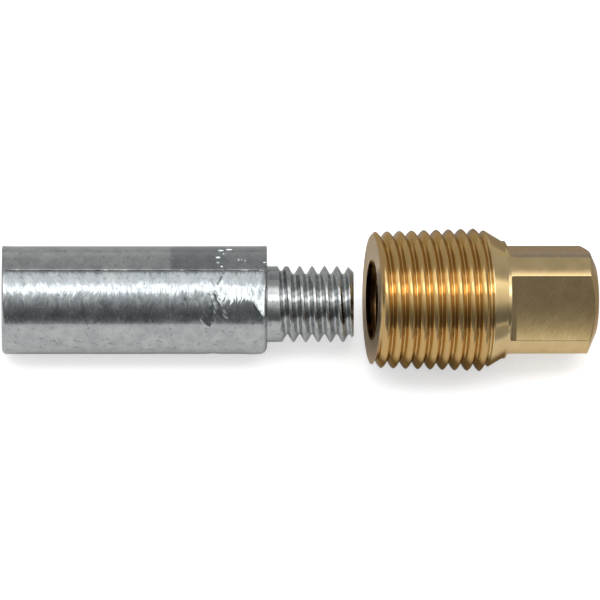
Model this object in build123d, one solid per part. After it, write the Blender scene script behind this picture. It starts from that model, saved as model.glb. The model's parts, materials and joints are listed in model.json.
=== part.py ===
from build123d import *
import os
from math import atan, ceil, cos, degrees, hypot, radians, sin, tan

# A pencil anode and its pipe plug, in millimetres. The zinc pencil is one casting with a threaded
# stub. The brass plug screws into a cooler or an engine block and holds the pencil in its blind
# threaded socket. The plug is off, and both pieces lie on the floor end to end, along +X.
# The origin is on the floor, under the middle of the box around both pieces.

# Zinc pencil: a round bar, and a stub that sits a little off the bar's centre line. The stub and
# the plug's socket are plain here: their 7/16-14 thread is fine against the pieces.
bar_diameter = 15.875
bar_length = 38.8
bar_edge_chamfer = 0.4
stub_diameter = 11.11
stub_length = 12.7
stub_drop = 0.33
stub_shift_front = 0.48
stub_end_chamfer = 0.9

# Pipe thread of the plug, 1/2-14 NPT with worn-down crests: one in sixteen on the diameter
pipe_crest_diameter = 19.96
pipe_thread_pitch = 25.4 / 14
pipe_thread_depth = 1.12
pipe_taper = 1 / 16
pipe_thread_length = 15.95
pipe_thread_lead_in = 1.13
face_chamfer = 0.45
flank_angle = 30
cutter_clearance = 0.1

# Neck, collar and square head of the plug: the head is milled from a turned round
neck_length = 3.1
collar_diameter = 17.26
collar_width = 0.45
head_length = 13.3
across_flats = 14.29
flat_corner_radius = 0.2
flats_turn = 45
head_chamfer_length = 1.5
head_end_diameter = 10.8

# The plug's socket for the stub: a tapping-size hole with a countersunk mouth
socket_diameter = 9.35
socket_depth = 14.0
socket_mouth_diameter = 12.1
mouth_angle = 45
drill_point_angle = 59

# How the plug lies: on its largest crest and on one rounded corner of its head
plug_gap = 2.65
plug_shift_front = 2.95
plug_yaw = 4.8

bar_radius = bar_diameter / 2
collar_radius = collar_diameter / 2
taper_slope = pipe_taper / 2
pipe_crest_radius = pipe_crest_diameter / 2
pipe_end_radius = pipe_crest_radius + pipe_thread_length * taper_slope
collar_start = pipe_thread_length + neck_length
head_start = collar_start + collar_width
plug_length = head_start + head_length
head_chamfer_start = plug_length - head_chamfer_length
plug_tilt = degrees(atan((pipe_end_radius - collar_radius) / (head_chamfer_start - pipe_thread_length)))


def groove_piece(turns, root_radius):
    """One stretch of the pipe thread's groove, up to one turn, from the XZ plane upwards.

    The groove's section is a V. Each of its corners follows its own helix, whose radius grows
    with the taper. Ruled faces join the helices, and flat faces end them."""
    reach = pipe_thread_depth + cutter_clearance
    half_mouth = reach * tan(radians(flank_angle))
    corners = [(root_radius, 0), (root_radius + reach, -half_mouth), (root_radius + reach, half_mouth)]
    cone_angle = atan(taper_slope)
    slant_pitch = pipe_thread_pitch / cos(cone_angle)
    helices = []
    for radius, height in corners:
        helix = Edge.make_helix(slant_pitch, turns * pipe_thread_pitch, radius, angle=degrees(cone_angle))
        helices.append(helix.moved(Location((0, 0, height))))
    faces = [
        Face.make_surface_from_curves(one, other)
        for one, other in zip(helices, helices[1:] + helices[:1])
    ]
    starts = [helix @ 0 for helix in helices]
    ends = [helix @ 1 for helix in reversed(helices)]
    faces += [Face(Wire.make_polygon(points, close=True)) for points in (starts, ends)]
    return Solid(Shell(faces))


def cut_pipe_thread(blank):
    """Cut the right-hand pipe thread into the turned plug, from its face until the neck ends it.

    The groove is cut in stretches of at most one turn, each beginning where the last one ended."""
    all_turns = (pipe_thread_lead_in + collar_start) / pipe_thread_pitch
    count = ceil(all_turns)
    turns = all_turns / count
    for step in range(count):
        height = step * turns * pipe_thread_pitch - pipe_thread_lead_in
        root_radius = pipe_crest_radius - pipe_thread_depth + height * taper_slope
        blank -= Location((0, 0, height), (0, 0, step * turns * 360)) * groove_piece(turns, root_radius)
    return blank


def make_zinc_pencil():
    """The pencil in its own frame: the stub's tip at 0, the bar above it along +Z."""
    stub_radius = stub_diameter / 2
    stub_profile = Polyline(
        (0, 0),
        (stub_radius - stub_end_chamfer, 0),
        (stub_radius, stub_end_chamfer),
        (stub_radius, stub_length),
        (0, stub_length),
        close=True,
    )
    stub = revolve(Plane.XZ * make_face(stub_profile), Axis.Z)
    bar = Pos(0, 0, stub_length + bar_length / 2) * Cylinder(bar_radius, bar_length)
    bar = chamfer(bar.edges().filter_by(GeomType.CIRCLE), bar_edge_chamfer)
    return bar + Pos(-stub_drop, -stub_shift_front, 0) * stub


def make_plug_blank():
    """The plug as turned, before its thread, socket and flats: the threaded end's face at 0."""
    profile = Polyline(
        (0, 0),
        (pipe_crest_radius - face_chamfer, 0),
        (pipe_crest_radius + face_chamfer * taper_slope, face_chamfer),
        (pipe_end_radius, pipe_thread_length),
        (collar_radius, collar_start),
        (collar_radius, head_chamfer_start),
        (head_end_diameter / 2, plug_length),
        (0, plug_length),
        close=True,
    )
    return revolve(Plane.XZ * make_face(profile), Axis.Z)


def make_socket_tool():
    """What the drill and the countersink take out of the plug's face."""
    hole_radius = socket_diameter / 2
    mouth_radius = socket_mouth_diameter / 2
    mouth_depth = (mouth_radius - hole_radius) / tan(radians(mouth_angle))
    profile = Polyline(
        (0, 0),
        (mouth_radius, 0),
        (hole_radius, mouth_depth),
        (hole_radius, socket_depth),
        (0, socket_depth + hole_radius / tan(radians(drill_point_angle))),
        close=True,
    )
    return revolve(Plane.XZ * make_face(profile), Axis.Z)


def make_flat_tool():
    """What the cutter takes off one side of the head: its corner leaves a hollow radius."""
    depth = collar_radius - across_flats / 2 + cutter_clearance
    length = head_length + cutter_clearance
    tool = Pos(across_flats / 2, 0, head_start) * Box(
        depth, collar_diameter, length, align=(Align.MIN, Align.CENTER, Align.MIN)
    )
    crossing_edges = tool.edges().filter_by(Axis.Y)
    inner_edge = crossing_edges.sort_by(lambda edge: hypot(edge.center().X, edge.center().Z))[0]
    return fillet(inner_edge, flat_corner_radius)


def make_brass_plug():
    """The plug in its own frame: its face at 0, the head above it along +Z.

    It lies on its +X side, and the flats stand at flats_turn from there."""
    plug = cut_pipe_thread(make_plug_blank()) - make_socket_tool()
    flat_tool = make_flat_tool()
    for quarter in range(4):
        plug -= Rot(0, 0, flats_turn + quarter * 90) * flat_tool
    return plug


def lay_pencil(pencil):
    """Lay the pencil on the floor with its stub pointing along +X and its tip at X 0."""
    return Location((0, 0, bar_radius), (0, -90, 0)) * pencil


def lay_plug(plug):
    """Lay the plug in front of the pencil's tip, tilted until its head touches the floor."""
    tilt = radians(plug_tilt)
    face_height = pipe_thread_length * sin(tilt) + pipe_end_radius * cos(tilt)
    place = Location((plug_gap, -plug_shift_front, face_height), (0, 0, plug_yaw))
    return place * Rot(0, 90 + plug_tilt, 0) * plug


def main():
    pencil = lay_pencil(make_zinc_pencil())
    plug = lay_plug(make_brass_plug())
    box = pencil.bounding_box().add(plug.bounding_box())
    to_origin = Pos(-box.center().X, -box.center().Y, -box.min.Z)
    os.makedirs("parts", exist_ok=True)
    for name, piece in {"zinc_pencil": pencil, "brass_plug": plug}.items():
        export_step(to_origin * piece, f"parts/{name}.step")


main()
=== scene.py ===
"""A zinc pencil anode and its brass pipe plug, lying end to end on a pale studio floor.

Shapes are worked out in millimetres and turned into metres as they become meshes. Each piece is
one closed skin: rows of points run along the piece, and columns run round its axis.
"""
import json
from math import cos, pi, radians, sin, tan

import bpy
import numpy as np
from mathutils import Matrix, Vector


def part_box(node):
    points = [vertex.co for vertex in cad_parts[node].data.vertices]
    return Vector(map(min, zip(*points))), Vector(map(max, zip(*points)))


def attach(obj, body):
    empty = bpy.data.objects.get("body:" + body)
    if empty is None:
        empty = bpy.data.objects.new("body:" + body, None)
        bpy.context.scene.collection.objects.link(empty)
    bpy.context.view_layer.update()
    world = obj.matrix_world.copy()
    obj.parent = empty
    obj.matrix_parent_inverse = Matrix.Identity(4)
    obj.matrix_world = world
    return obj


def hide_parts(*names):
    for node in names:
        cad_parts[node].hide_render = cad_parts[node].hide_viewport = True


MM = 0.001
PITCH = 25.4 / 14
FLANK_ANGLE = radians(30)

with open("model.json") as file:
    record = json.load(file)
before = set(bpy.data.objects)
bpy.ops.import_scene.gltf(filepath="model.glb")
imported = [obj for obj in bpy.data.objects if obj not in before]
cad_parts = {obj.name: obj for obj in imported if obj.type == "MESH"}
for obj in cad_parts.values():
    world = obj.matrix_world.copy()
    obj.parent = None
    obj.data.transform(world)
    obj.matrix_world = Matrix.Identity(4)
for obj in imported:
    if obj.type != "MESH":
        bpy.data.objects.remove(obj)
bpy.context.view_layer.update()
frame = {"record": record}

# Pencil: the bar fills its box across, and the stub stands a little off the bar's centre line
BAR_LENGTH = 38.8
BAR_RADIUS = 15.875 / 2
STUB_LENGTH = 12.7
STUB_DROP = 0.33
STUB_SHIFT_FRONT = 0.48
STUB_RADIUS = 11.11 / 2
STUB_THREAD_DEPTH = 1.11
STUB_ROOT_FLAT = 0.26
STUB_CHAMFER = 0.9
STUB_FULL_THREAD = 10.0
STUB_FADE_LENGTH = 0.85 * PITCH
STUB_LEAD_IN = 2.345

# Plug: the pipe thread, the neck, the collar, the square head and the socket
PIPE_CREST_RADIUS = 19.96 / 2
PIPE_THREAD_DEPTH = 1.12
PIPE_ROOT_FLAT = 0.16
PIPE_TAPER_SLOPE = 1 / 32
PIPE_THREAD_LENGTH = 15.95
PIPE_LEAD_IN = 1.13
FACE_CHAMFER = 0.45
COLLAR_RADIUS = 17.26 / 2
COLLAR_START = 19.05
HEAD_START = 19.5
HEAD_LENGTH = 13.3
PLUG_LENGTH = HEAD_START + HEAD_LENGTH
ACROSS_FLATS = 14.29
FLAT_CORNER_RADIUS = 0.2
HEAD_CHAMFER_LENGTH = 1.5
HEAD_END_RADIUS = 10.8 / 2
SOCKET_RADIUS = 9.35 / 2
SOCKET_DEPTH = 14.0
SOCKET_MOUTH_RADIUS = 12.1 / 2
SOCKET_THREAD_RADIUS = STUB_RADIUS
DRILL_POINT_ANGLE = radians(59)


# ---------------------------------------------------------------- mesh helpers

def smooth_step(low, high, value):
    """0 below low, 1 above high, and 3t^2 - 2t^3 between them."""
    t = np.clip((value - low) / (high - low), 0, 1)
    return t * t * (3 - 2 * t)


def soft_min(one, other, width):
    """The smaller of two values, with the corner where they cross rounded over width."""
    mix = np.clip(0.5 + (other - one) / (2 * width), 0, 1)
    return other + (one - other) * mix - width * mix * (1 - mix)


def soft_max(one, other, width):
    """The larger of two values, with the corner where they cross rounded over width."""
    return -soft_min(-one, -other, width)


# How many whole numbers the noise has each way before it repeats
NOISE_ACROSS = 64
NOISE_ALONG = 256


def cloth_of_noise(across, along, seed):
    """Smooth noise from -1 to 1 over a plane: random values at whole numbers, eased between."""
    grid = np.random.default_rng(seed).uniform(-1, 1, (NOISE_ACROSS, NOISE_ALONG))
    i, j = np.floor(across).astype(int), np.floor(along).astype(int)
    u, v = across - i, along - j
    u, v = u * u * (3 - 2 * u), v * v * (3 - 2 * v)
    i, next_i = i % NOISE_ACROSS, (i + 1) % NOISE_ACROSS
    j, next_j = j % NOISE_ALONG, (j + 1) % NOISE_ALONG
    low = grid[i, j] * (1 - u) + grid[next_i, j] * u
    high = grid[i, next_j] * (1 - u) + grid[next_i, next_j] * u
    return low * (1 - v) + high * v


def skin(name, points, first_pole, last_pole, material, node):
    """A closed skin over a grid of points in metres, as an object that replaces a node.

    points[i, j] is the corner at row i and column j. Quads join neighbours, the last column joins
    the first, and a fan of triangles closes each end at its pole."""
    rows, columns = points.shape[:2]
    corner = np.arange(rows * columns).reshape(rows, columns)
    beside = np.roll(corner, -1, axis=1)
    quads = np.stack([corner[:-1], beside[:-1], beside[1:], corner[1:]], axis=-1).reshape(-1)
    first, last = rows * columns, rows * columns + 1
    fan_a = np.stack([np.full(columns, first), beside[0], corner[0]], axis=-1).reshape(-1)
    fan_b = np.stack([np.full(columns, last), corner[-1], beside[-1]], axis=-1).reshape(-1)
    loops = np.concatenate([quads, fan_a, fan_b])
    quad_count = len(quads) // 4
    sizes = np.concatenate([np.full(quad_count, 4), np.full(2 * columns, 3)])
    starts = np.concatenate([[0], np.cumsum(sizes)[:-1]])
    corners = np.concatenate([points.reshape(-1, 3), [first_pole, last_pole]])
    mesh = bpy.data.meshes.new(name)
    mesh.vertices.add(len(corners))
    mesh.vertices.foreach_set("co", corners.astype(np.float32).reshape(-1))
    mesh.loops.add(len(loops))
    mesh.loops.foreach_set("vertex_index", loops.astype(np.int32))
    mesh.polygons.add(len(sizes))
    mesh.polygons.foreach_set("loop_start", starts.astype(np.int32))
    mesh.update(calc_edges=True)
    mesh.validate()
    mesh.shade_smooth()
    mesh.materials.append(material)
    piece = bpy.data.objects.new(name, mesh)
    bpy.context.scene.collection.objects.link(piece)
    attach(piece, "root")
    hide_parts(node)
    return piece


def from_groove(height, turn, lead_in):
    """How far a point is, along the axis, from the middle of the nearest turn of a groove.

    turn is the point's angle as a share of a turn. The groove starts lead_in below the end and
    climbs one pitch a turn. The second value is the height of that turn's middle."""
    climb = (height + lead_in) / PITCH - turn
    nearest = np.round(climb)
    return np.abs(climb - nearest) * PITCH, (nearest + turn) * PITCH - lead_in


# ---------------------------------------------------------------- zinc pencil

# Rows of points along the bar: finer from where the folds begin
BAR_ROW_STEP = 0.4
FOLD_ROW_STEP = 0.11
FOLD_ROWS_START = 24

# Where the skin's relief rises to its full height along the bar, and where it goes again
RELIEF_RISE = (0.3, 1.5)
RELIEF_FALL = (37.6, 38.5)


def rim_radius(angle, sharpest, roundest, round_side):
    """The rounding of an edge, which grows from sharpest to roundest towards the angle round_side."""
    share = (0.5 + 0.5 * np.cos(angle - round_side)) ** 1.5
    return sharpest + (roundest - sharpest) * share


def stub_surface(height, turn):
    """The stub's radius at a height from its tip: crests cut by a V groove that fades out.

    Past the full thread, the groove's depth falls evenly to nothing over the fade's length."""
    away, middle = from_groove(height, turn, STUB_LEAD_IN)
    depth = STUB_THREAD_DEPTH * (1 - np.clip((middle - STUB_FULL_THREAD) / STUB_FADE_LENGTH, 0, 1))
    flank = STUB_RADIUS - depth + np.maximum(away - STUB_ROOT_FLAT / 2, 0) / tan(FLANK_ANGLE)
    radius = soft_min(flank, STUB_RADIUS, 0.07)
    tip_cone = STUB_RADIUS - STUB_CHAMFER + height
    return soft_min(radius, tip_cone, 0.05)


def make_zinc_pencil(material):
    """One casting: the free end's face, the bar, the shoulder and the threaded stub.

    Each row has a place along the axis and a radius, both functions of the angle round the axis,
    which starts at the top and grows towards the front."""
    low, high = (np.array(corner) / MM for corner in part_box("zinc_pencil"))
    axis_y = low[1] + BAR_RADIUS
    axis_z = low[2] + BAR_RADIUS
    angle = column_angles()
    end_rim = rim_radius(angle, 0.15, 0.7, radians(110))
    shoulder_rim = rim_radius(angle, 0.15, 1.15, radians(115))
    places, radii, shifts = [], [], []

    def add(place, radius, shift):
        place, radius, shift = np.broadcast_arrays(place, radius, shift)
        places.append(place + 0 * angle)
        radii.append(radius + 0 * angle)
        shifts.append(shift + 0 * angle)

    for share in np.linspace(0.1, 1, 9):
        add(0.0, share * (BAR_RADIUS - end_rim), 0.0)
    for bend in np.radians([15, 30, 45, 60, 75, 90]):
        add(end_rim * (1 - cos(bend)), BAR_RADIUS - end_rim * (1 - sin(bend)), 0.0)
    plain_rows = np.arange(0.8, FOLD_ROWS_START, BAR_ROW_STEP)
    fold_rows = np.arange(FOLD_ROWS_START, BAR_LENGTH - 1.2, FOLD_ROW_STEP)
    for place in np.concatenate([plain_rows, fold_rows]):
        add(place, BAR_RADIUS, 0.0)
    for bend in np.radians([0, 15, 30, 45, 60, 75, 90]):
        add(BAR_LENGTH - shoulder_rim * (1 - sin(bend)), BAR_RADIUS - shoulder_rim * (1 - cos(bend)), 0.0)
    for share in np.linspace(0, 1, 8)[1:]:
        radius = (BAR_RADIUS - shoulder_rim) * (1 - share) + (STUB_RADIUS + 0.25) * share
        add(BAR_LENGTH, radius, share)
    add(BAR_LENGTH + 0.08, STUB_RADIUS + 0.08, 1.0)
    turn = -angle / (2 * pi)
    for height in np.arange(STUB_LENGTH - 0.25, 0, -PITCH / 22):
        add(BAR_LENGTH + STUB_LENGTH - height, stub_surface(height, turn), 1.0)
    tip = stub_surface(0.0, turn)
    for share in np.linspace(1, 0.1, 7):
        add(BAR_LENGTH + STUB_LENGTH, tip * share, 1.0)
    place, radius, shift = np.array(places), np.array(radii), np.array(shifts)
    on_bar = smooth_step(*RELIEF_RISE, place) * (1 - smooth_step(*RELIEF_FALL, place))
    radius = radius + on_bar * bar_relief(place, np.degrees(angle)[None, :])
    y = axis_y - STUB_SHIFT_FRONT * shift - radius * np.sin(angle)
    z = axis_z - STUB_DROP * shift + radius * np.cos(angle)
    points = np.stack([low[0] + place, y, z], axis=-1) * MM
    first = np.array([low[0], axis_y, axis_z]) * MM
    last = np.array([high[0], axis_y - STUB_SHIFT_FRONT, axis_z - STUB_DROP]) * MM
    return skin("zinc_pencil_casting", points, first, last, material, "zinc_pencil")


def column_angles():
    """Angles round the pencil, closer together on the upper front, where the creases are."""
    even = np.linspace(0, 2 * pi, 240, endpoint=False)
    return even - 0.5 * np.sin(even - radians(20))


# Folds in the bar's skin, each as (distance from the free end, degrees from the top to the front).
# The skin rises towards the line by a height, over a width, on the line's left as it is followed.
FOLD_ACROSS = ((31.2, 27), (31.6, 34), (32.0, 41), (32.5, 49), (32.8, 52))
FOLD_BESIDE = ((31.6, 51), (31.3, 47), (31.2, 42), (30.8, 33), (30.5, 26))
RIBBON = ((30.9, 61), (31.1, 54), (31.4, 48), (31.2, 44), (30.8, 32))
LINE_FROM_PARTING = ((32.5, 2.6), (32.35, 8.5), (32.0, 13.5), (31.6, 18.5))
LONG_CREASE = ((26.3, 49), (26.3, 40), (27.0, 26), (27.3, 4))
V_LEFT = ((30.6, 14), (31.1, 24), (31.25, 29))
V_RIGHT = ((31.4, 28), (31.8, 20), (32.3, 12))
FLAKE = ((29.2, 55), (29.6, 59), (30.0, 63), (30.5, 64.5), (30.9, 61), (31.0, 57))
SHOULDER_BURR = ((38.22, 51.5), (37.5, 44), (36.86, 36.4))
SHOULDER_EDGE = ((38.57, 8), (38.52, 22), (38.45, 43))
FOLDS = (
    (FOLD_ACROSS, 0.13, 0.45),
    (FOLD_BESIDE, 0.08, 0.35),
    (RIBBON, 0.11, 0.35),
    (LINE_FROM_PARTING, 0.07, 0.5),
    (LONG_CREASE, 0.035, 0.7),
    (V_LEFT, 0.06, 0.5),
    (V_RIGHT, 0.05, 0.5),
    (FLAKE, 0.14, 0.55),
    (SHOULDER_BURR, 0.07, 0.4),
    (SHOULDER_EDGE, 0.08, 0.35),
)

# Small blobs of zinc behind the parting line: (distance, degrees, size, height)
BLOBS = (
    (31.65, -17.5, 0.50, 0.03), (32.05, -32.0, 0.50, 0.03), (33.25, -34.5, 0.55, 0.03),
    (31.65, -9.5, 0.32, 0.11), (34.65, -13.5, 0.26, 0.20),
    (35.1, -14.5, 0.24, 0.20), (35.6, -13.0, 0.28, 0.20), (37.9, -10.5, 0.28, 0.12),
    (38.3, -9.0, 0.24, 0.09), (18.0, -20.0, 0.25, 0.05), (4.9, -14.0, 0.25, 0.03),
)


def fold(place, degree, line, height, width):
    """A lapped fold along a bent line: the skin rises to the line and drops at once beyond it."""
    across_mm = BAR_RADIUS * pi / 180
    nearest = np.full(np.broadcast_shapes(place.shape, degree.shape), 1e9)
    side = np.zeros(nearest.shape)
    for (x0, d0), (x1, d1) in zip(line, line[1:]):
        run = np.array([x1 - x0, (d1 - d0) * across_mm])
        length = np.hypot(*run)
        run = run / length
        x, y = place - x0, (degree - d0) * across_mm
        along = np.clip(x * run[0] + y * run[1], 0, length)
        gap = np.hypot(x - along * run[0], y - along * run[1])
        side = np.where(gap < nearest, np.sign(x * run[1] - y * run[0]), side)
        nearest = np.minimum(gap, nearest)
    rise = np.maximum(1 - nearest / width, 0) ** 1.2
    drop = np.exp(-(nearest / 0.11) ** 2)
    return height * np.where(side > 0, rise, drop)


# Heights and depths of the bar's relief, in millimetres
SKIN_DEPTH = 0.035
WAVE_HEIGHT = 0.012
GRAIN_HEIGHT = 0.002
STROKE_HEIGHT = 0.004
LIP_HEIGHT = 0.03
PARTING_DEPTH = 0.04
FLAP_HEIGHT = 0.05
SWELL_HEIGHT = 0.05
DENT_DEPTH = 0.07


def bar_relief(place, degree):
    """How far the bar's skin stands off its round, for a place and an angle from the top.

    It has slow unevenness, casting grain, scraping strokes, the mould's parting line with a lip
    in front of it, an uneven flap, folds, small blobs, and a dent and a swell low on the front."""
    degree = np.mod(degree + 180, 360) - 180
    waves = cloth_of_noise(degree * NOISE_ACROSS / 360 / 4 + 3, place / 7, 11) * WAVE_HEIGHT
    grain = cloth_of_noise(degree * NOISE_ACROSS / 360, place / 0.9, 12) * GRAIN_HEIGHT
    strokes = smooth_step(2, 6, degree) * (1 - smooth_step(50, 75, degree))
    noise = cloth_of_noise(degree / 11 + 20, place / 0.55 + degree / 25, 13)
    scraped = strokes * noise * STROKE_HEIGHT
    height = waves + grain + scraped - SKIN_DEPTH
    height += LIP_HEIGHT * smooth_step(1.2, 2.4, degree) * (1 - smooth_step(2.4, 10, degree))
    height -= PARTING_DEPTH * np.exp(-((degree - 1.0) / 0.9) ** 2)
    flap = smooth_step(30.0, 30.6, place) * (1 - smooth_step(32.2, 32.9, place))
    flap = flap * smooth_step(26, 32, degree) * (1 - smooth_step(50, 58, degree))
    height += flap * FLAP_HEIGHT * cloth_of_noise(degree / 4.5 + 7, place / 0.6, 14)
    for line, tall, width in FOLDS:
        height += fold(place, degree, line, tall, width)
    for x, angle, size, tall in BLOBS:
        gap = np.hypot(place - x, (degree - angle) * BAR_RADIUS * pi / 180) / size
        height += tall * np.exp(-gap ** 2 * 1.6)
    dent = np.exp(-((place - 30.9) / 0.9) ** 2) * np.exp(-((degree - 122) / 14) ** 2)
    swell = np.exp(-((place - 36.6) / 0.9) ** 2) * np.exp(-((degree - 122) / 20) ** 2)
    height += SWELL_HEIGHT * swell - DENT_DEPTH * dent
    return np.minimum(height, bar_headroom(degree))


def bar_headroom(degree):
    """How far the skin may stand off the round before it would leave the bar's own box."""
    angle = np.radians(degree)
    reach = BAR_RADIUS / np.maximum(np.abs(np.cos(angle)), np.abs(np.sin(angle)))
    return reach - BAR_RADIUS - 0.002


# ---------------------------------------------------------------- brass plug

def pipe_surface(height, turn):
    """The outside of the threaded end and the neck: a taper, a cone and a V groove round both."""
    taper = PIPE_CREST_RADIUS + height * PIPE_TAPER_SLOPE
    end_radius = PIPE_CREST_RADIUS + PIPE_THREAD_LENGTH * PIPE_TAPER_SLOPE
    neck_fall = (end_radius - COLLAR_RADIUS) / (COLLAR_START - PIPE_THREAD_LENGTH)
    neck = end_radius - (height - PIPE_THREAD_LENGTH) * neck_fall
    chamfer = PIPE_CREST_RADIUS - FACE_CHAMFER + height
    blank = np.minimum(np.minimum(taper, neck), chamfer)
    away, _ = from_groove(height, turn, PIPE_LEAD_IN)
    root = taper - PIPE_THREAD_DEPTH
    groove = root + soft_max((away - PIPE_ROOT_FLAT / 2) / tan(FLANK_ANGLE), 0.0, 0.35)
    on_thread = 1 - smooth_step(0.0, 1.0, height - PIPE_THREAD_LENGTH)
    crest_round = 0.12 + 0.5 * on_thread * smooth_step(0.0, 0.8, height)
    return np.minimum(soft_min(groove, blank + 0.03 * on_thread, crest_round), blank)


def head_surface(height, angle):
    """The square head: the turned round, cut by four flats, with the end turned to a cone.

    Near the collar, each flat rises to the round along the cutter's corner radius."""
    from_flat = np.mod(angle, pi / 2) - pi / 4
    rise = np.clip(FLAT_CORNER_RADIUS - (height - HEAD_START), 0, FLAT_CORNER_RADIUS)
    corner = FLAT_CORNER_RADIUS - np.sqrt(np.maximum(FLAT_CORNER_RADIUS ** 2 - rise ** 2, 0))
    flat = (ACROSS_FLATS / 2 + corner) / np.cos(from_flat)
    radius = soft_min(flat, COLLAR_RADIUS, 0.03)
    fall = (COLLAR_RADIUS - HEAD_END_RADIUS) / HEAD_CHAMFER_LENGTH
    cone = HEAD_END_RADIUS + (PLUG_LENGTH - height) * fall
    return soft_min(radius, cone, 0.04)


def socket_surface(height, turn):
    """The inside of the socket: a countersunk mouth, then a hole with an internal V thread."""
    mouth = SOCKET_MOUTH_RADIUS - height
    away, _ = from_groove(height, turn, 0.0)
    crest_fall = np.maximum(away - STUB_ROOT_FLAT / 2, 0) / tan(FLANK_ANGLE)
    thread = soft_max(SOCKET_THREAD_RADIUS - crest_fall, SOCKET_RADIUS, 0.05)
    depth_fade = smooth_step(SOCKET_DEPTH - 1.5, SOCKET_DEPTH - 0.4, height)
    thread = thread + (SOCKET_RADIUS - thread) * depth_fade
    return soft_max(mouth, thread, 0.05)


def plug_column_angles():
    """Angles round the plug: evenly across each flat, and closer beside the flats' edges."""
    half_flat = np.arccos(ACROSS_FLATS / 2 / COLLAR_RADIUS)
    edge = np.array([-0.014, -0.005, 0.0, 0.005, 0.014])
    across = np.linspace(-half_flat + 0.03, half_flat - 0.03, 32)
    corner = np.linspace(half_flat + 0.03, pi / 2 - half_flat - 0.03, 11)
    one = np.concatenate([-half_flat + edge, across, half_flat + edge, corner])
    return np.concatenate([one + pi / 4 + quarter * pi / 2 for quarter in range(4)])


def plug_frame():
    """The plug's own axes from its pipe thread's mount: face centre, axis, down and back."""
    mount = next(m for m in frame["record"]["mounts"] if m["name"] == "pipe_thread")
    face = np.array(mount["pos_m"], float)
    axis = -np.array(mount["axis"], float)
    axis = axis / np.linalg.norm(axis)
    back = np.cross([0, 0, 1], axis)
    back = back / np.linalg.norm(back)
    return face, axis, np.cross(back, axis), back


def make_brass_plug(material):
    """One turned and milled piece, from the drill point in its socket out to the head's end.

    The angle round the axis starts at the side the plug lies on and grows towards the back."""
    angle = plug_column_angles()
    turn = angle / (2 * pi)
    heights, radii = [], []

    def add(height, radius):
        heights.append(height + 0 * angle)
        radii.append(radius + 0 * angle)

    drill_depth = SOCKET_RADIUS / tan(DRILL_POINT_ANGLE)
    for share in (0.15, 0.4, 0.7):
        add(SOCKET_DEPTH + drill_depth * (1 - share), SOCKET_RADIUS * share)
    for height in np.arange(SOCKET_DEPTH, 0, -PITCH / 12):
        add(height, socket_surface(height, turn))
    add(0.0, np.maximum(socket_surface(0.0, turn), SOCKET_MOUTH_RADIUS))
    rim = pipe_surface(0.0, turn)
    for share in (0.03, 0.33, 0.66, 0.97):
        add(0.0, SOCKET_MOUTH_RADIUS + (rim - SOCKET_MOUTH_RADIUS) * share)
    for height in np.arange(0.0, PIPE_THREAD_LENGTH + 1.6, PITCH / 28):
        add(height, pipe_surface(height, turn))
    for height in np.arange(PIPE_THREAD_LENGTH + 1.65, COLLAR_START - 0.04, 0.12):
        add(height, pipe_surface(height, turn))
    for height in (COLLAR_START - 0.03, COLLAR_START + 0.03, HEAD_START - 0.2, HEAD_START - 0.04):
        cut = np.minimum(pipe_surface(height, turn), COLLAR_RADIUS)
        add(height, cut if height < COLLAR_START else COLLAR_RADIUS)
    for height in HEAD_START + np.array([0, 0.004, 0.02, 0.05, 0.09, 0.14, 0.2]):
        add(height, head_surface(height, angle))
    chamfer_start = PLUG_LENGTH - HEAD_CHAMFER_LENGTH
    for height in np.linspace(HEAD_START + 0.5, chamfer_start - 0.6, 24):
        add(height, head_surface(height, angle))
    for height in np.linspace(chamfer_start - 0.5, PLUG_LENGTH - 0.02, 26):
        add(height, head_surface(height, angle))
    end_radius = head_surface(PLUG_LENGTH, angle)
    for share in (0.995, 0.85, 0.7, 0.5, 0.3, 0.12):
        add(PLUG_LENGTH, end_radius * share)
    face, axis, down, back = plug_frame()
    height, radius = np.array(heights) * MM, np.array(radii) * MM
    outwards = np.cos(angle)[:, None] * down + np.sin(angle)[:, None] * back
    points = face + height[..., None] * axis + radius[..., None] * outwards[None]
    first = face + (SOCKET_DEPTH + drill_depth) * MM * axis
    last = face + PLUG_LENGTH * MM * axis
    return skin("brass_plug_turned", points, first, last, material, "brass_plug")


# ---------------------------------------------------------------- materials

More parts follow.
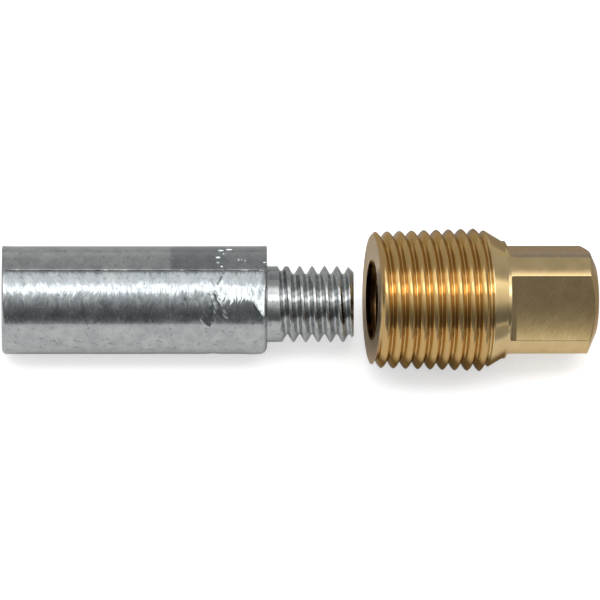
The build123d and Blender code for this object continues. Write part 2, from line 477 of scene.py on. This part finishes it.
class Nodes:
    """Short ways to add and join shader nodes in one tree."""

    def __init__(self, tree):
        self.tree = tree
        self.tree.nodes.clear()

    def add(self, kind, **settings):
        node = self.tree.nodes.new(kind)
        for name, value in settings.items():
            if name.startswith("in_"):
                self.feed(node.inputs[name[3:].replace("_", " ")], value)
            else:
                setattr(node, name, value)
        return node

    def feed(self, socket, value):
        if isinstance(value, bpy.types.NodeSocket):
            self.tree.links.new(value, socket)
        else:
            socket.default_value = value

    def math(self, operation, one, other=0.0):
        node = self.add("ShaderNodeMath", operation=operation)
        self.feed(node.inputs[0], one)
        self.feed(node.inputs[1], other)
        return node.outputs[0]

    def vector(self, operation, one, other=None, scale=None):
        node = self.add("ShaderNodeVectorMath", operation=operation)
        self.feed(node.inputs[0], one)
        if other is not None:
            self.feed(node.inputs[1], other)
        if scale is not None:
            self.feed(node.inputs["Scale"], scale)
        return node.outputs["Value" if operation == "DOT_PRODUCT" else "Vector"]

    def group(self, tree, **inputs):
        node = self.add("ShaderNodeGroup", node_tree=tree, **inputs)
        return node.outputs

    def mix(self, factor, one, other):
        node = self.add("ShaderNodeMix", data_type="RGBA")
        self.feed(node.inputs["Factor"], factor)
        self.feed(node.inputs[6], one)
        self.feed(node.inputs[7], other)
        return node.outputs[2]

    def tint(self, tone, mask, strength, colour):
        """The tone, moved towards a colour by the mask times a strength."""
        return self.mix(self.math("MULTIPLY", mask, strength), tone, colour)

    def ramp(self, value, *stops):
        node = self.add("ShaderNodeValToRGB")
        elements = node.color_ramp.elements
        while len(elements) < len(stops):
            elements.new(0.5)
        for element, (position, level) in zip(elements, stops):
            element.position = position
            element.color = (*level, 1) if isinstance(level, tuple) else (level, level, level, 1)
        self.feed(node.inputs["Fac"], value)
        return node


def rgba(red, green, blue):
    return (red, green, blue, 1.0)


def new_material(name):
    material = bpy.data.materials.new(name)
    material.use_nodes = True
    return material, Nodes(material.node_tree)


def new_group(name, inputs, outputs):
    """A shader group with the sockets listed as (name, type) pairs."""
    tree = bpy.data.node_groups.new(name, "ShaderNodeTree")
    for direction, sockets in (("INPUT", inputs), ("OUTPUT", outputs)):
        for socket, kind in sockets:
            tree.interface.new_socket(socket, in_out=direction, socket_type=kind)
    n = Nodes(tree)
    return tree, n, n.add("NodeGroupInput").outputs, n.add("NodeGroupOutput").inputs


def make_streaks_group():
    """Fine scratches that run one way: noise drawn out along one axis, in millimetres.

    Place is a position whose first part runs across the scratches. The outputs are soft values
    round 0.5 and sharp marks from 0 to 1."""
    tree, n, given, out = new_group(
        "streaks",
        (
            ("Place", "NodeSocketVector"),
            ("Width", "NodeSocketFloat"),
            ("Length", "NodeSocketFloat"),
            ("Bend", "NodeSocketFloat"),
        ),
        (("Soft", "NodeSocketFloat"), ("Marks", "NodeSocketFloat")),
    )
    bend = n.add("ShaderNodeTexNoise", in_Vector=given["Place"], in_Scale=0.35, in_Detail=1.0)
    bend = n.vector("SUBTRACT", bend.outputs["Color"], (0.5, 0.5, 0.5))
    bend = n.vector("SCALE", bend, scale=given["Bend"])
    part = n.add("ShaderNodeSeparateXYZ", in_Vector=n.vector("ADD", given["Place"], bend)).outputs
    drawn = n.add("ShaderNodeCombineXYZ")
    n.feed(drawn.inputs["X"], n.math("DIVIDE", part["X"], given["Width"]))
    n.feed(drawn.inputs["Y"], n.math("DIVIDE", part["Y"], given["Length"]))
    n.feed(drawn.inputs["Z"], n.math("DIVIDE", part["Z"], given["Length"]))
    noise = n.add("ShaderNodeTexNoise", in_Vector=drawn.outputs[0], in_Scale=1.0, in_Detail=3.0)
    n.feed(out["Soft"], noise.outputs["Fac"])
    n.feed(out["Marks"], n.ramp(noise.outputs["Fac"], (0.56, 0.0), (0.68, 1.0)).outputs[0])
    return tree


def make_tilt_group():
    """A normal leaned over a little: by one amount along a direction, and by another across it.

    Flatten first takes that share of its lean along the direction away."""
    tree, n, given, out = new_group(
        "lean",
        (
            ("Direction", "NodeSocketVector"),
            ("Along", "NodeSocketFloat"),
            ("Across", "NodeSocketFloat"),
            ("Flatten", "NodeSocketFloat"),
        ),
        (("Normal", "NodeSocketVector"),),
    )
    normal = n.add("ShaderNodeNewGeometry").outputs["Normal"]
    slope = n.math("MULTIPLY", n.vector("DOT_PRODUCT", normal, given["Direction"]), given["Flatten"])
    normal = n.vector("SUBTRACT", normal, n.vector("SCALE", given["Direction"], scale=slope))
    side = n.vector("CROSS_PRODUCT", given["Direction"], normal)
    lean = n.vector("SCALE", given["Direction"], scale=given["Along"])
    lean = n.vector("ADD", lean, n.vector("SCALE", side, scale=given["Across"]))
    n.feed(out["Normal"], n.vector("NORMALIZE", n.vector("ADD", normal, lean)))
    return tree


def round_coordinates(n, centre, axis, start):
    """Where a point is on a turned piece: its place, millimetres along, and degrees round.

    The angle starts at the side that start points to and grows towards the axis crossed with it."""
    where = n.add("ShaderNodeTexCoord").outputs["Object"]
    place = n.vector("SCALE", n.vector("SUBTRACT", where, centre), scale=1 / MM)
    along = n.vector("DOT_PRODUCT", place, axis)
    near = n.vector("DOT_PRODUCT", place, start)
    side = n.vector("DOT_PRODUCT", place, tuple(Vector(axis).cross(Vector(start))))
    degree = n.math("MULTIPLY", n.math("ARCTAN2", side, near), 180 / pi)
    return place, along, degree


def even_rise(n, value, none_at, full_at):
    """A mask that goes evenly from 0, where the value is none_at, to 1, where it is full_at."""
    step = n.add("ShaderNodeMapRange", in_Value=value, in_From_Min=none_at, in_From_Max=full_at)
    return step.outputs[0]


def soft_rise(n, value, low, high):
    """A mask that goes from 0 at low to 1 at high, slowly at both ends."""
    step = n.add("ShaderNodeMapRange", interpolation_type="SMOOTHSTEP", in_Value=value)
    n.feed(step.inputs["From Min"], low)
    n.feed(step.inputs["From Max"], high)
    return step.outputs[0]


def between(n, value, low, high, soft):
    """A mask that is 1 between two values and fades over soft outside them."""
    rise = soft_rise(n, value, low - soft, low)
    fall = soft_rise(n, value, high, high + soft)
    return n.math("MULTIPLY", rise, n.math("SUBTRACT", 1.0, fall))


def spot(n, along, degree, place, half_length, half_degrees):
    """A mask that is 1 on a small oval at a (distance, degrees) place, with a soft rim."""
    x = n.math("DIVIDE", n.math("SUBTRACT", along, place[0]), half_length)
    y = n.math("DIVIDE", n.math("SUBTRACT", degree, place[1]), half_degrees)
    gap = n.math("ADD", n.math("MULTIPLY", x, x), n.math("MULTIPLY", y, y))
    return even_rise(n, gap, 1.3, 0.5)


# Bright spots behind the parting line: (distance, degrees), half sizes and how far they lean
SPOTS = (
    ((31.65, -17.5), 0.40, 1.9, 0.85),
    ((32.05, -32.0), 0.48, 2.4, 1.35),
    ((33.25, -34.5), 0.55, 2.0, 1.45),
    ((32.45, -24.5), 0.14, 1.0, 1.0),
    ((31.65, -9.0), 0.22, 1.0, 0.6),
    ((32.2, -4.0), 0.18, 1.1, 0.5),
    ((34.65, -13.5), 0.16, 1.0, 0.75),
    ((35.55, -15.0), 0.22, 0.9, 0.75),
    ((38.45, -9.5), 0.24, 0.9, 0.7),
)


# Where the bar's finishes lie: in millimetres from its free end, and in degrees from the top to
# the front
SCRAPED_SPAN = (0.6, 38.6)
SCRAPED_DEGREES = (2.2, 60.0)
PARTING_SPAN = (0.3, 38.6)
PARTING_DEGREES = (0.6, 1.6)
BEHIND_DEGREES = (-120.0, -0.2)
# The spans where a dark and a grey reflection are painted into the zinc's colour behind the parting line
DARK_REFLECTION_SPAN = (25.2, 32.4)
GREY_REFLECTION_SPAN = (33.4, 42.0)
DISHED_SPAN = (31.9, 38.6)
DISHED_DEGREES = (-30.0, 32.5)

# The zinc's colours, as linear red, green and blue
CAST_GREY = (0.385, 0.40, 0.405)
CAST_PALE = (0.48, 0.495, 0.49)
# Painted reflections: these darken the zinc where something dark is mirrored, not the zinc's own colour
PAINTED_DARK_REFLECTION = rgba(0.16, 0.18, 0.185)
PAINTED_GREY_REFLECTION = rgba(0.17, 0.19, 0.195)
SCRAPED_BLUE = rgba(0.0, 0.05, 0.10)
# Painted shade for a slanted band beside the shoulder
SHOULDER_PAINTED_SHADE = rgba(0.08, 0.09, 0.10)
PARTING_GREY = rgba(0.10, 0.11, 0.11)
PIT_GREY = rgba(0.14, 0.15, 0.15)


def make_zinc(streaks, lean):
    """Cast zinc: scraped bright in front of the parting line, smooth and grey behind it, with dark
    reflections painted into the colour there.
    """
    material, n = new_material("cast_zinc")
    low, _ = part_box("zinc_pencil")
    centre = (low[0], low[1] + BAR_RADIUS * MM, low[2] + BAR_RADIUS * MM)
    place, along, degree = round_coordinates(n, centre, (1, 0, 0), (0, 0, 1))
    wander = n.add("ShaderNodeTexNoise", in_Vector=place, in_Scale=0.8, in_Detail=3.0).outputs["Fac"]
    wander = n.math("MULTIPLY", n.math("SUBTRACT", wander, 0.5), 3.0)
    loose = n.math("ADD", along, wander)
    scraped = between(n, degree, *SCRAPED_DEGREES, 1.5)
    scraped = n.math("MULTIPLY", scraped, between(n, along, *SCRAPED_SPAN, 0.3))
    fine = n.group(streaks, in_Place=place, in_Width=0.17, in_Length=1.1, in_Bend=2.5)
    broad = n.group(streaks, in_Place=place, in_Width=0.6, in_Length=3.0, in_Bend=3.0)
    patches = n.add("ShaderNodeTexNoise", in_Vector=place, in_Scale=0.55, in_Detail=4.0).outputs["Fac"]
    behind = between(n, degree, *BEHIND_DEGREES, 1.2)
    fading = even_rise(n, degree, -90.0, -45.0)
    behind = n.math("MULTIPLY", behind, fading)
    # Painted reflections of something dark, put into the colour behind the parting line
    dark_reflection_mask = n.math("MULTIPLY", between(n, loose, *DARK_REFLECTION_SPAN, 0.8), behind)
    grey_reflection_mask = n.math("MULTIPLY", between(n, loose, *GREY_REFLECTION_SPAN, 1.0), behind)
    tone = n.ramp(patches, (0.36, CAST_GREY), (0.64, CAST_PALE)).outputs[0]
    tone = n.tint(tone, dark_reflection_mask, 0.62, PAINTED_DARK_REFLECTION)
    tone = n.tint(tone, grey_reflection_mask, 0.42, PAINTED_GREY_REFLECTION)
    tone = n.tint(tone, scraped, 0.25, SCRAPED_BLUE)
    # Painted shade: a slanted band beside the shoulder is darkened in the colour
    shoulder_shade = n.math("SUBTRACT", along, n.math("MULTIPLY", n.math("SUBTRACT", degree, 3.8), -0.033))
    shoulder_shade = n.math("MULTIPLY", between(n, shoulder_shade, 38.35, 38.85, 0.15), between(n, degree, 4.0, 33.0, 3.0))
    tone = n.tint(tone, shoulder_shade, 0.5, SHOULDER_PAINTED_SHADE)
    line = between(n, degree, *PARTING_DEGREES, 0.5)
    line = n.math("MULTIPLY", line, between(n, along, *PARTING_SPAN, 0.2))
    tone = n.tint(tone, line, 0.45, PARTING_GREY)
    pits = n.add("ShaderNodeTexNoise", in_Vector=place, in_Scale=1.7, in_Detail=3.0).outputs["Fac"]
    pits = n.ramp(pits, (0.58, 0.0), (0.70, 1.0)).outputs[0]
    tone = n.tint(tone, pits, 0.5, PIT_GREY)
    tone = n.tint(tone, fine["Marks"], 0.2, PIT_GREY)
    blur = n.math("ADD", 0.17, n.math("MULTIPLY", n.math("MULTIPLY", fine["Marks"], scraped), 0.2))
    blur = n.math("ADD", blur, n.math("MULTIPLY", scraped, 0.04))
    blur = n.math("ADD", blur, n.math("MULTIPLY", n.math("SUBTRACT", patches, 0.5), 0.25))
    sway = n.math("SUBTRACT", fine["Soft"], 0.5)
    slow = n.math("SUBTRACT", broad["Soft"], 0.5)
    free = n.math("MULTIPLY", between(n, degree, 2.2, 40.0, 16.0), scraped)
    amount = n.math("ADD", 0.035, n.math("MULTIPLY", scraped, 0.05))
    amount = n.math("ADD", amount, n.math("MULTIPLY", free, 0.2))
    across = n.math("MULTIPLY", n.math("ADD", sway, n.math("MULTIPLY", slow, 0.8)), amount)
    past = n.math("SUBTRACT", along, n.math("MULTIPLY", n.math("SUBTRACT", degree, 36.4), 0.09))
    wedge = n.math("MULTIPLY", between(n, past, 36.86, 45.0, 0.06), between(n, degree, 20.0, 51.0, 3.0))
    wedge = n.math("MULTIPLY", wedge, between(n, along, 30.0, BAR_LENGTH - 0.05, 0.02))
    slide = even_rise(n, degree, 23.0, 52.0)
    ragged = n.math("ADD", degree, n.math("MULTIPLY", sway, 26.0))
    dished = between(n, ragged, *DISHED_DEGREES, 5.0)
    dished = n.math("MULTIPLY", dished, between(n, along, *DISHED_SPAN, 0.8))
    dished = n.math("MULTIPLY", n.math("MULTIPLY", n.math("MAXIMUM", dished, wedge), slide), scraped)
    glints = n.math("MULTIPLY", n.math("MULTIPLY", line, n.math("SUBTRACT", patches, 0.55)), 2.4)
    across = n.math("ADD", n.math("ADD", across, glints), n.math("MULTIPLY", dished, -0.5))
    for spot_place, half_length, half_degrees, leaning in SPOTS:
        mask = spot(n, along, degree, spot_place, half_length, half_degrees)
        across = n.math("ADD", across, n.math("MULTIPLY", mask, leaning))
    on_stub = n.math("GREATER_THAN", along, BAR_LENGTH + 0.05)
    across = n.math("ADD", across, n.math("MULTIPLY", on_stub, -0.04))
    normal = n.group(
        lean,
        in_Direction=(1.0, 0.0, 0.0),
        in_Along=n.math("MULTIPLY", sway, 0.25),
        in_Across=across,
        in_Flatten=n.math("MULTIPLY", on_stub, 0.5),
    )
    shader = n.add("ShaderNodeBsdfPrincipled", in_Base_Color=tone, in_Roughness=blur)
    n.feed(shader.inputs["Normal"], normal["Normal"])
    shader.inputs["Metallic"].default_value = 1.0
    n.add("ShaderNodeOutputMaterial", in_Surface=shader.outputs[0])
    return material


# Where a flat of the head begins, in degrees past a corner, and how much of a quarter turn it takes
FLAT_EDGE_DEGREES = 11.0
FLAT_SHARE = 0.755

# The plug's painted underside shade, in degrees either way from the side that faces down
UNDERSIDE_DEGREES = 77.0

# The brass's colours, as linear red, green and blue
TURNED_DEEP = (0.58, 0.42, 0.185)
TURNED_PALE = (0.64, 0.47, 0.225)
THREAD_BRASS = rgba(0.52, 0.315, 0.10)
# A painted pale reflection for the plug's end face
FACE_PAINTED_REFLECTION = rgba(0.66, 0.60, 0.50)
# Painted shade for the plug's underside
UNDERSIDE_PAINTED_SHADE = rgba(0.075, 0.04, 0.025)
GRAZING_GLOSS = rgba(0.85, 0.68, 0.47)


def make_brass(streaks, lean):
    """Turned and milled brass: fine rings round the thread, and fine strokes across the head."""
    material, n = new_material("turned_brass")
    face, axis, down, _ = plug_frame()
    place, along, degree = round_coordinates(n, tuple(face), tuple(axis), tuple(down))
    axis_value = tuple(float(part) for part in axis)
    rings = n.add("ShaderNodeTexNoise", noise_dimensions="1D", in_W=along, in_Scale=9.0, in_Detail=2.0)
    rings = rings.outputs["Fac"]
    patches = n.add("ShaderNodeTexNoise", in_Vector=place, in_Scale=0.45, in_Detail=4.0).outputs["Fac"]
    tone = n.ramp(patches, (0.35, TURNED_DEEP), (0.65, TURNED_PALE)).outputs[0]
    on_thread = between(n, along, -1.0, PIPE_THREAD_LENGTH, 0.4)
    tone = n.tint(tone, on_thread, 0.85, THREAD_BRASS)
    # Painted reflection: the end face is made paler and greyer in the colour
    face_reflection_mask = n.math("LESS_THAN", along, 0.05)
    tone = n.tint(tone, face_reflection_mask, 0.8, FACE_PAINTED_REFLECTION)
    # Painted shade: the underside of the thread and neck is darkened in the colour, and its coat is taken
    # away there
    underside_shade = between(n, degree, -UNDERSIDE_DEGREES, UNDERSIDE_DEGREES, 15.0)
    underside_shade = n.math("MULTIPLY", underside_shade, between(n, along, 0.3, 19.0, 0.5))
    tone = n.tint(tone, underside_shade, 0.88, UNDERSIDE_PAINTED_SHADE)
    blur = n.math("ADD", 0.15, n.math("MULTIPLY", n.math("SUBTRACT", patches, 0.5), 0.2))
    ripple = n.math("MULTIPLY", n.math("SUBTRACT", rings, 0.5), 0.10)
    share = n.math("FRACT", n.math("DIVIDE", n.math("ADD", degree, 180.0 - FLAT_EDGE_DEGREES), 90.0))
    on_head = between(n, along, HEAD_START + 0.95, PLUG_LENGTH, 0.12)
    on_flats = n.math("MULTIPLY", on_head, between(n, share, 0.0, FLAT_SHARE, 0.004))
    worn = even_rise(n, share, 0.25, 0.76)
    worn = n.math("MULTIPLY", n.math("MULTIPLY", n.math("POWER", worn, 2.0), -0.215), on_flats)
    stroke = n.add("ShaderNodeCombineXYZ", in_X=n.vector("DOT_PRODUCT", place, (0.87, -0.35, -0.35)))
    n.feed(stroke.inputs["Y"], n.vector("DOT_PRODUCT", place, (0.5, 0.61, 0.61)))
    strokes = n.group(streaks, in_Place=stroke.outputs[0], in_Width=0.13, in_Length=2.2, in_Bend=0.6)
    grain = n.math("MULTIPLY", n.math("SUBTRACT", strokes["Soft"], 0.5), 0.16)
    grain = n.math("MULTIPLY", grain, on_flats)
    scratch = n.math("MULTIPLY", n.math("MULTIPLY", strokes["Marks"], on_flats), 0.16)
    blur = n.math("ADD", blur, scratch)
    across = n.math("ADD", worn, grain)
    turned = n.math("MULTIPLY", between(n, along, 0.6, HEAD_START - 0.1, 0.1), 0.45)
    across = n.math("ADD", across, n.math("MULTIPLY", turned, -0.12))
    normal = n.group(lean, in_Direction=axis_value, in_Along=ripple, in_Across=across, in_Flatten=turned)
    shader = n.add("ShaderNodeBsdfPrincipled", in_Base_Color=tone, in_Roughness=blur)
    n.feed(shader.inputs["Normal"], normal["Normal"])
    shader.inputs["Metallic"].default_value = 1.0
    shader.inputs["Specular Tint"].default_value = GRAZING_GLOSS
    n.feed(shader.inputs["Coat Weight"], n.math("MULTIPLY", n.math("SUBTRACT", 1.0, underside_shade), 0.25))
    shader.inputs["Coat Roughness"].default_value = 0.14
    shader.inputs["Coat IOR"].default_value = 2.5
    n.add("ShaderNodeOutputMaterial", in_Surface=shader.outputs[0])
    return material


# ---------------------------------------------------------------- floor, light and camera

# The camera's height over the horizon is an angle, its sensor is in millimetres, and the rest is
# in metres
CAMERA_ELEVATION = radians(55.65)
CAMERA_DISTANCE = 3.0
VIEW_WIDTH = 0.0879
AIM = (-0.00006, 0.00207, 0.0079375)
SENSOR_WIDTH = 36.0


def make_camera():
    """A long lens in front of the pieces, looking down at them."""
    camera = bpy.data.cameras.new("studio_camera")
    camera.sensor_width = SENSOR_WIDTH
    camera.lens = CAMERA_DISTANCE * SENSOR_WIDTH / VIEW_WIDTH
    camera.clip_start = 0.01
    holder = bpy.data.objects.new("studio_camera", camera)
    bpy.context.scene.collection.objects.link(holder)
    back = Vector((0, -cos(CAMERA_ELEVATION), sin(CAMERA_ELEVATION)))
    holder.location = Vector(AIM) + back * CAMERA_DISTANCE
    holder.rotation_euler = (pi / 2 - CAMERA_ELEVATION, 0, 0)
    bpy.context.scene.camera = holder


# Where the floor turns darker, in metres: behind the pieces, past their right end, beside the plug
FLOOR_BEHIND = (0.008, 0.016)
FLOOR_RIGHT = (0.046, 0.052)
FLOOR_BESIDE = (0.010, 0.016)

# The floor's tones, and its half width in metres
FLOOR_PALE = rgba(0.76, 0.76, 0.76)
FLOOR_DIM = rgba(0.42, 0.42, 0.42)
FLOOR_DIMMEST = rgba(0.29, 0.29, 0.29)
FLOOR_HALF_WIDTH = 2.0


def make_floor():
    """A pale floor that takes the pieces' own soft shadow.

    It is darker behind the pieces and past their right end, most of all beside the plug, and the
    metal mirrors that. A glow that only the camera sees in full keeps it white in the view."""
    material, n = new_material("pale_floor")
    where = n.add("ShaderNodeTexCoord").outputs["Object"]
    where = n.add("ShaderNodeSeparateXYZ", in_Vector=where).outputs
    behind = even_rise(n, where["Y"], *FLOOR_BEHIND)
    right = even_rise(n, where["X"], *FLOOR_RIGHT)
    beside = even_rise(n, where["X"], *FLOOR_BESIDE)
    dim = n.mix(beside, FLOOR_DIM, FLOOR_DIMMEST)
    behind = n.math("MAXIMUM", behind, right)
    tone = n.mix(behind, FLOOR_PALE, dim)
    diffuse = n.add("ShaderNodeBsdfDiffuse", in_Color=tone)
    path = n.add("ShaderNodeLightPath").outputs
    seen = n.math("ADD", 0.55, n.math("MULTIPLY", behind, 0.45))
    seen = n.math("MULTIPLY", path["Is Camera Ray"], seen)
    mirrored = n.math("MULTIPLY", path["Is Glossy Ray"], 0.06)
    glow = n.add("ShaderNodeEmission", in_Strength=n.math("MAXIMUM", seen, mirrored))
    both = n.add("ShaderNodeAddShader")
    n.feed(both.inputs[0], diffuse.outputs[0])
    n.feed(both.inputs[1], glow.outputs[0])
    n.add("ShaderNodeOutputMaterial", in_Surface=both.outputs[0])
    half = FLOOR_HALF_WIDTH
    mesh = bpy.data.meshes.new("floor")
    corners = [(-half, -half, 0), (half, -half, 0), (half, half, 0), (-half, half, 0)]
    mesh.from_pydata(corners, [], [(0, 1, 2, 3)])
    mesh.materials.append(material)
    floor = bpy.data.objects.new("floor", mesh)
    bpy.context.scene.collection.objects.link(floor)


# Brightness of the room against the angle from the front horizon, over the top, to the back one
ROOM = (
    (-180, 0.7), (-2, 0.85), (3, 0.8), (8, 0.18), (27, 0.15), (38, 0.26), (48, 0.48), (57, 0.85),
    (65, 1.1), (72, 1.25), (94, 1.6), (107, 1.75), (113, 0.8), (119, 0.5), (150, 0.5), (180, 0.66),
)

# Brightness of the room at its left and right ends
LEFT_SIDE = rgba(0.5, 0.5, 0.5)
RIGHT_SIDE = rgba(0.3, 0.3, 0.3)


def make_room():
    """The studio round the pieces: dark in front, bright overhead, and mid grey behind.

    Both sides are grey too, the right one darker. The camera sees plain white."""
    world = bpy.data.worlds.new("studio")
    bpy.context.scene.world = world
    world.use_nodes = True
    n = Nodes(world.node_tree)
    direction = n.add("ShaderNodeTexCoord").outputs["Generated"]
    part = n.add("ShaderNodeSeparateXYZ", in_Vector=direction).outputs
    turn = n.math("ARCTAN2", part["Z"], n.math("MULTIPLY", part["Y"], -1.0))
    share = n.math("MULTIPLY_ADD", turn, 1 / (2 * pi))
    share.node.inputs[2].default_value = 0.5
    room = n.ramp(share, *(((angle + 180) / 360, level) for angle, level in ROOM))
    sideways = n.math("ABSOLUTE", part["X"])
    side = n.mix(n.math("GREATER_THAN", part["X"], 0.0), LEFT_SIDE, RIGHT_SIDE)
    level = n.mix(n.ramp(sideways, (0.75, 0.0), (0.98, 1.0)).outputs[0], room.outputs[0], side)
    seen = n.add("ShaderNodeLightPath").outputs["Is Camera Ray"]
    sky = n.add("ShaderNodeBackground", in_Color=n.mix(seen, level, rgba(1, 1, 1)))
    n.add("ShaderNodeOutputWorld", in_Surface=sky.outputs[0])


def make_softbox():
    """A long soft lamp overhead, a little to the front. Its sizes are in metres."""
    height, front, back, width = 0.8, -0.25, -0.03, 1.2
    level = 2.6
    lamp = bpy.data.lights.new("softbox", "AREA")
    lamp.shape = "RECTANGLE"
    lamp.size, lamp.size_y = width, back - front
    lamp.energy = level * pi * lamp.size * lamp.size_y
    holder = bpy.data.objects.new("softbox", lamp)
    holder.location = (0, (front + back) / 2, height)
    bpy.context.scene.collection.objects.link(holder)


make_camera()
make_floor()
make_room()
make_softbox()
streaks_group = make_streaks_group()
lean_group = make_tilt_group()
make_zinc_pencil(make_zinc(streaks_group, lean_group))
make_brass_plug(make_brass(streaks_group, lean_group))
bpy.context.scene.view_settings.view_transform = "Standard"
